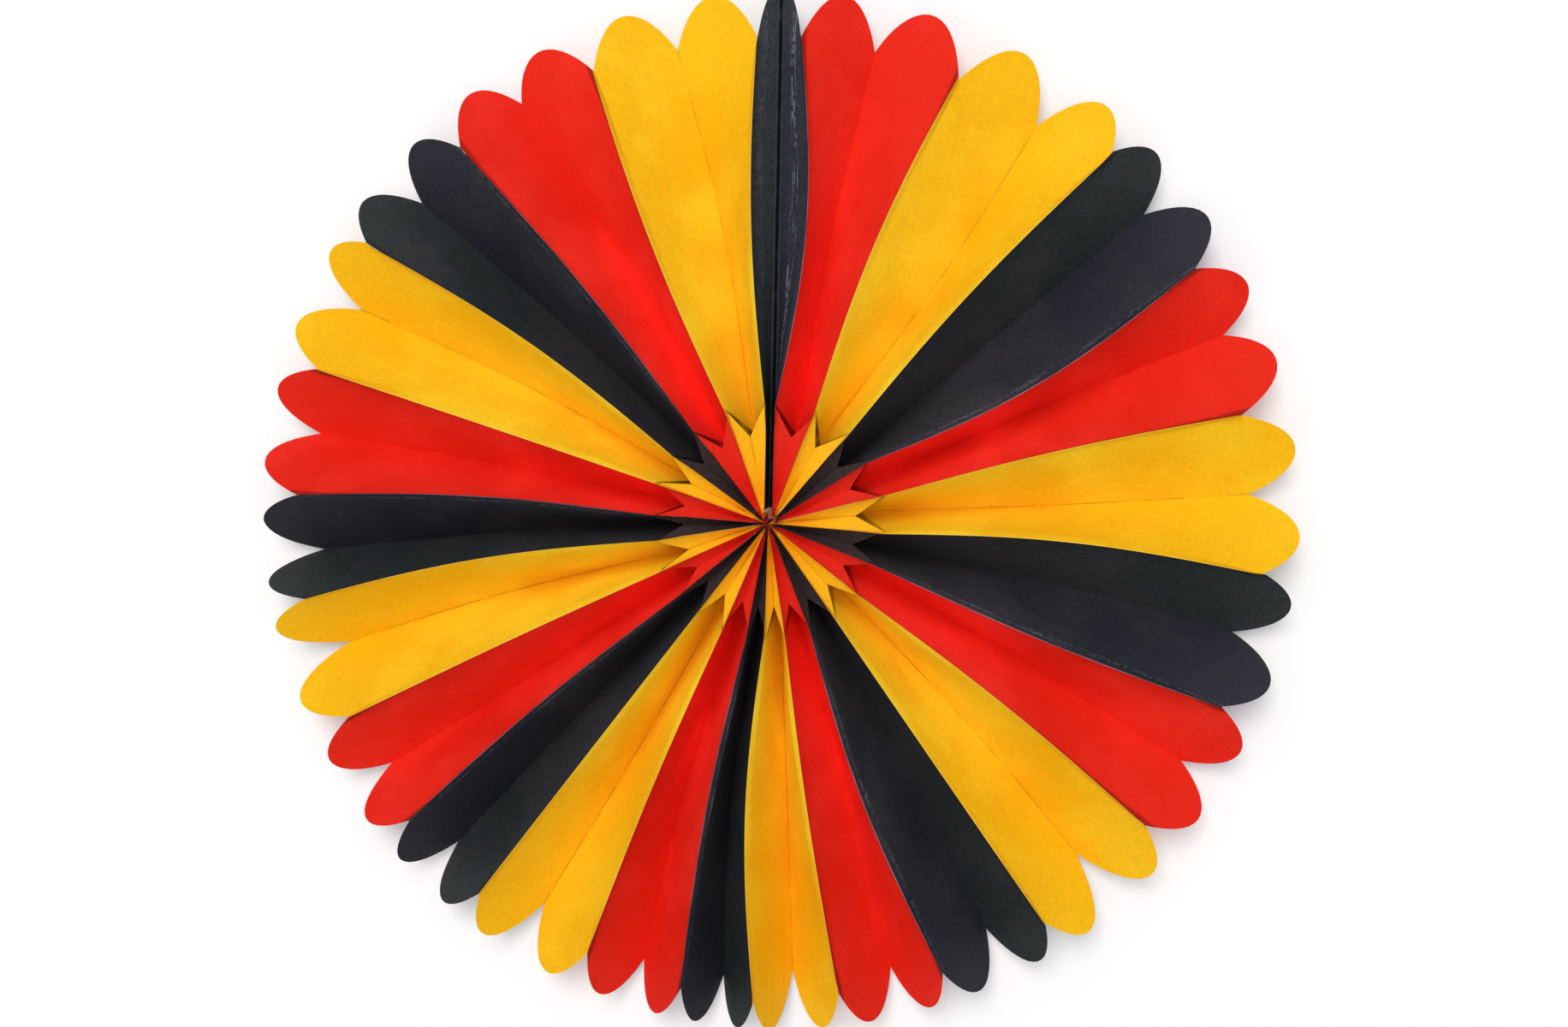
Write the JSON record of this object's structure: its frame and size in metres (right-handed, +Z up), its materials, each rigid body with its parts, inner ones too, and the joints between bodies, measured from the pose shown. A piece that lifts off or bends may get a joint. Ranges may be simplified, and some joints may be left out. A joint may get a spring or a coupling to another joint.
{
  "type": "paper fan rosette",
  "caption": "Round hanging fan of pleated tissue leaves in repeating red, yellow and black, glued at their front ridges and closed by two end cards.",
  "frame": {"origin": "centre of the hub, which is the centre of the rosette's bounding box", "axes": "+Z up, towards the seam and the end cards it hangs by; the front faces -Y; +X is to the viewer's right"},
  "size_m": [0.4999, 0.0446, 0.4999],
  "materials": {
    "red_tissue": "matte tissue",
    "yellow_tissue": "matte tissue",
    "black_tissue": "matte tissue",
    "greyboard": "matte, uncoated",
    "seam_tape": "satin",
    "hub_thread": "matte cotton"
  },
  "bodies": {
    "root": {"red_leaf_1": "red_tissue", "yellow_leaf_1": "yellow_tissue", "black_leaf_1": "black_tissue", "red_leaf_2": "red_tissue", "yellow_leaf_2": "yellow_tissue", "black_leaf_2": "black_tissue", "red_leaf_3": "red_tissue", "yellow_leaf_3": "yellow_tissue", "black_leaf_3": "black_tissue", "red_leaf_4": "red_tissue", "yellow_leaf_4": "yellow_tissue", "black_leaf_4": "black_tissue", "red_leaf_5": "red_tissue", "yellow_leaf_5": "yellow_tissue", "black_leaf_5": "black_tissue", "red_leaf_6": "red_tissue", "yellow_leaf_6": "yellow_tissue", "black_leaf_6": "black_tissue", "red_leaf_7": "red_tissue", "yellow_leaf_7": "yellow_tissue", "black_leaf_7": "black_tissue", "red_leaf_8": "red_tissue", "yellow_leaf_8": "yellow_tissue", "black_end_petal_left": "black_tissue", "black_end_petal_right": "black_tissue", "end_card_left": "greyboard", "end_card_right": "greyboard", "seam_tape": "seam_tape", "hub_thread": "hub_thread"}
  },
  "joints": []
}
